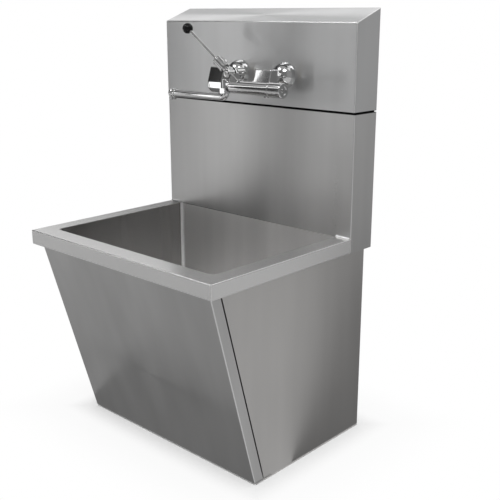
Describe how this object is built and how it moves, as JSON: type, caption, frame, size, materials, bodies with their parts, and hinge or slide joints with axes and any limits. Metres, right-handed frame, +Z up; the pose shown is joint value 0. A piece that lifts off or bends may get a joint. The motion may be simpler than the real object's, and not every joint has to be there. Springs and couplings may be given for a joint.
{
  "type": "hand wash sink",
  "caption": "Stainless steel hand wash sink with a deep bowl, tall splash, leaning front skirt and a lever-operated wall faucet with a swing spout.",
  "frame": {"origin": "on the floor, under the middle of the sink's outer box", "axes": "+X to the right seen from the user, +Y towards the wall, +Z up"},
  "size_m": [0.762, 0.6604, 1.27],
  "materials": {
    "deck_steel": "fine brushed",
    "bowl_steel": "satin, polished at the corners",
    "splash_steel": "vertical brushed",
    "hood_steel": "vertical brushed",
    "panel_steel": "fine brushed",
    "skin_steel": "fine brushed",
    "frame_steel": "mill",
    "screw_steel": "turned",
    "polished_steel": "polished",
    "waste_chrome": "polished",
    "faucet_chrome": "mirror polished",
    "pipe_brass": "machined",
    "stem_brass": "machined",
    "cartridge_plastic": "moulded",
    "ball_plastic": "high gloss",
    "black_rubber": "moulded",
    "grey_fibre": "pressed fibre"
  },
  "bodies": {
    "cabinet": {"rim_deck": "deck_steel", "basin_bowl": "bowl_steel", "backsplash_panel": "splash_steel", "splash_hood": "hood_steel", "front_access_panel": "panel_steel", "side_panel_right": "skin_steel", "side_panel_left": "skin_steel", "front_post_right": "frame_steel", "front_post_left": "frame_steel", "base_rear_rail": "frame_steel", "wall_hanger_upper": "frame_steel", "wall_hanger_lower": "frame_steel", "bowl_support_front": "frame_steel", "bowl_support_rear": "frame_steel", "support_pads": "black_rubber", "hood_clips": "frame_steel", "panel_hooks": "frame_steel", "frame_screws": "screw_steel", "strainer_body": "polished_steel", "strainer_gasket": "black_rubber", "friction_washer": "grey_fibre", "strainer_locknut": "waste_chrome", "tailpiece": "waste_chrome", "slip_nuts": "waste_chrome", "slip_washers": "black_rubber", "trap_bend": "waste_chrome", "trap_arm": "waste_chrome", "wall_flange_left": "faucet_chrome", "wall_flange_right": "faucet_chrome", "inlet_nipple_left": "pipe_brass", "inlet_nipple_right": "pipe_brass", "nipple_locknuts": "pipe_brass", "union_nut_left": "faucet_chrome", "union_nut_right": "faucet_chrome", "union_washers": "black_rubber", "stop_body_left": "faucet_chrome", "stop_body_right": "faucet_chrome", "body_union_nuts": "faucet_chrome", "mixer_body": "faucet_chrome", "thermostatic_cartridge": "cartridge_plastic", "temperature_ring": "faucet_chrome", "limit_screw": "screw_steel", "lever_cartridge": "cartridge_plastic", "bonnet_nut": "faucet_chrome", "spout_nut": "faucet_chrome"},
    "lever": {"lever_spindle": "stem_brass", "lever_hub": "faucet_chrome", "lever_fasteners": "screw_steel", "lever_rod": "faucet_chrome", "ball_knob": "ball_plastic"},
    "spout": {"spout_tube": "faucet_chrome", "spout_seals": "black_rubber", "aerator": "faucet_chrome"},
    "temperature": {"temperature_spindle": "stem_brass", "temperature_knob": "faucet_chrome", "knob_screw": "screw_steel"},
    "shuttle": {"mixing_shuttle": "cartridge_plastic"},
    "basket": {"strainer_basket": "polished_steel"},
    "left_stop": {"stop_stem_left": "screw_steel"},
    "right_stop": {"stop_stem_right": "screw_steel"}
  },
  "joints": [
    {"name": "lever_turn", "type": "hinge", "parent": "cabinet", "child": "lever", "pos_m": [0.0306, 0.0973, 1.09], "axis": [0, 1, 0], "range_deg": [0, 80]},
    {"name": "spout_swing", "type": "hinge", "parent": "cabinet", "child": "spout", "pos_m": [0.0154, 0.0973, 1.047], "axis": [0, 0, 1], "range_deg": [0, 140]},
    {"name": "temperature_turn", "type": "hinge", "parent": "cabinet", "child": "temperature", "pos_m": [0.195, 0.0973, 1.052], "axis": [1, 0, 0], "range_deg": [-135, 135]},
    {"name": "shuttle_slide", "type": "slide", "parent": "cabinet", "child": "shuttle", "axis": [1, 0, 0], "range_m": [-0.003, 0.003]},
    {"name": "basket_lift", "type": "slide", "parent": "cabinet", "child": "basket", "axis": [0, 0, 1], "range_m": [0, 0.12]},
    {"name": "left_stop_turn", "type": "hinge", "parent": "cabinet", "child": "left_stop", "pos_m": [-0.052, 0.1453, 1.04], "axis": [0, 0, 1], "range_deg": [0, 90]},
    {"name": "right_stop_turn", "type": "hinge", "parent": "cabinet", "child": "right_stop", "pos_m": [0.13, 0.1453, 1.04], "axis": [0, 0, 1], "range_deg": [0, 90]}
  ],
  "couplings": [
    {"joint": "shuttle_slide", "follows": "temperature_turn", "m_per_rad": 0.0012732}
  ]
}
